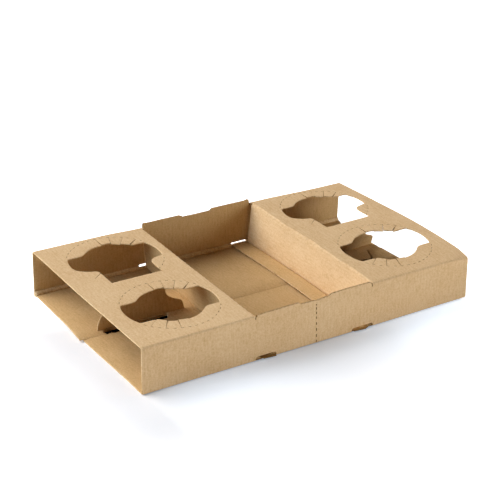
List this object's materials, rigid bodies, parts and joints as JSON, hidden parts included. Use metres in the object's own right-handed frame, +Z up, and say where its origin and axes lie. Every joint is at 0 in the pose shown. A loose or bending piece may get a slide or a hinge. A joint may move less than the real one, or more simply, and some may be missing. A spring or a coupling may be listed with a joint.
{
  "type": "cardboard cup carrier",
  "caption": "Folded corrugated sleeve tray with slit cup holes in two raised decks and an open tray between them",
  "frame": {"origin": "on the table, under the middle of the carrier's box", "axes": "+X along the sleeve from one open end to the other, +Y from the wall with the tear line to the plain wall, +Z up"},
  "size_m": [0.3062, 0.1808, 0.0424],
  "materials": {
    "kraft_board": "uncoated kraft liner, matt"
  },
  "bodies": {
    "root": {"cup_carrier": "kraft_board"}
  },
  "joints": []
}
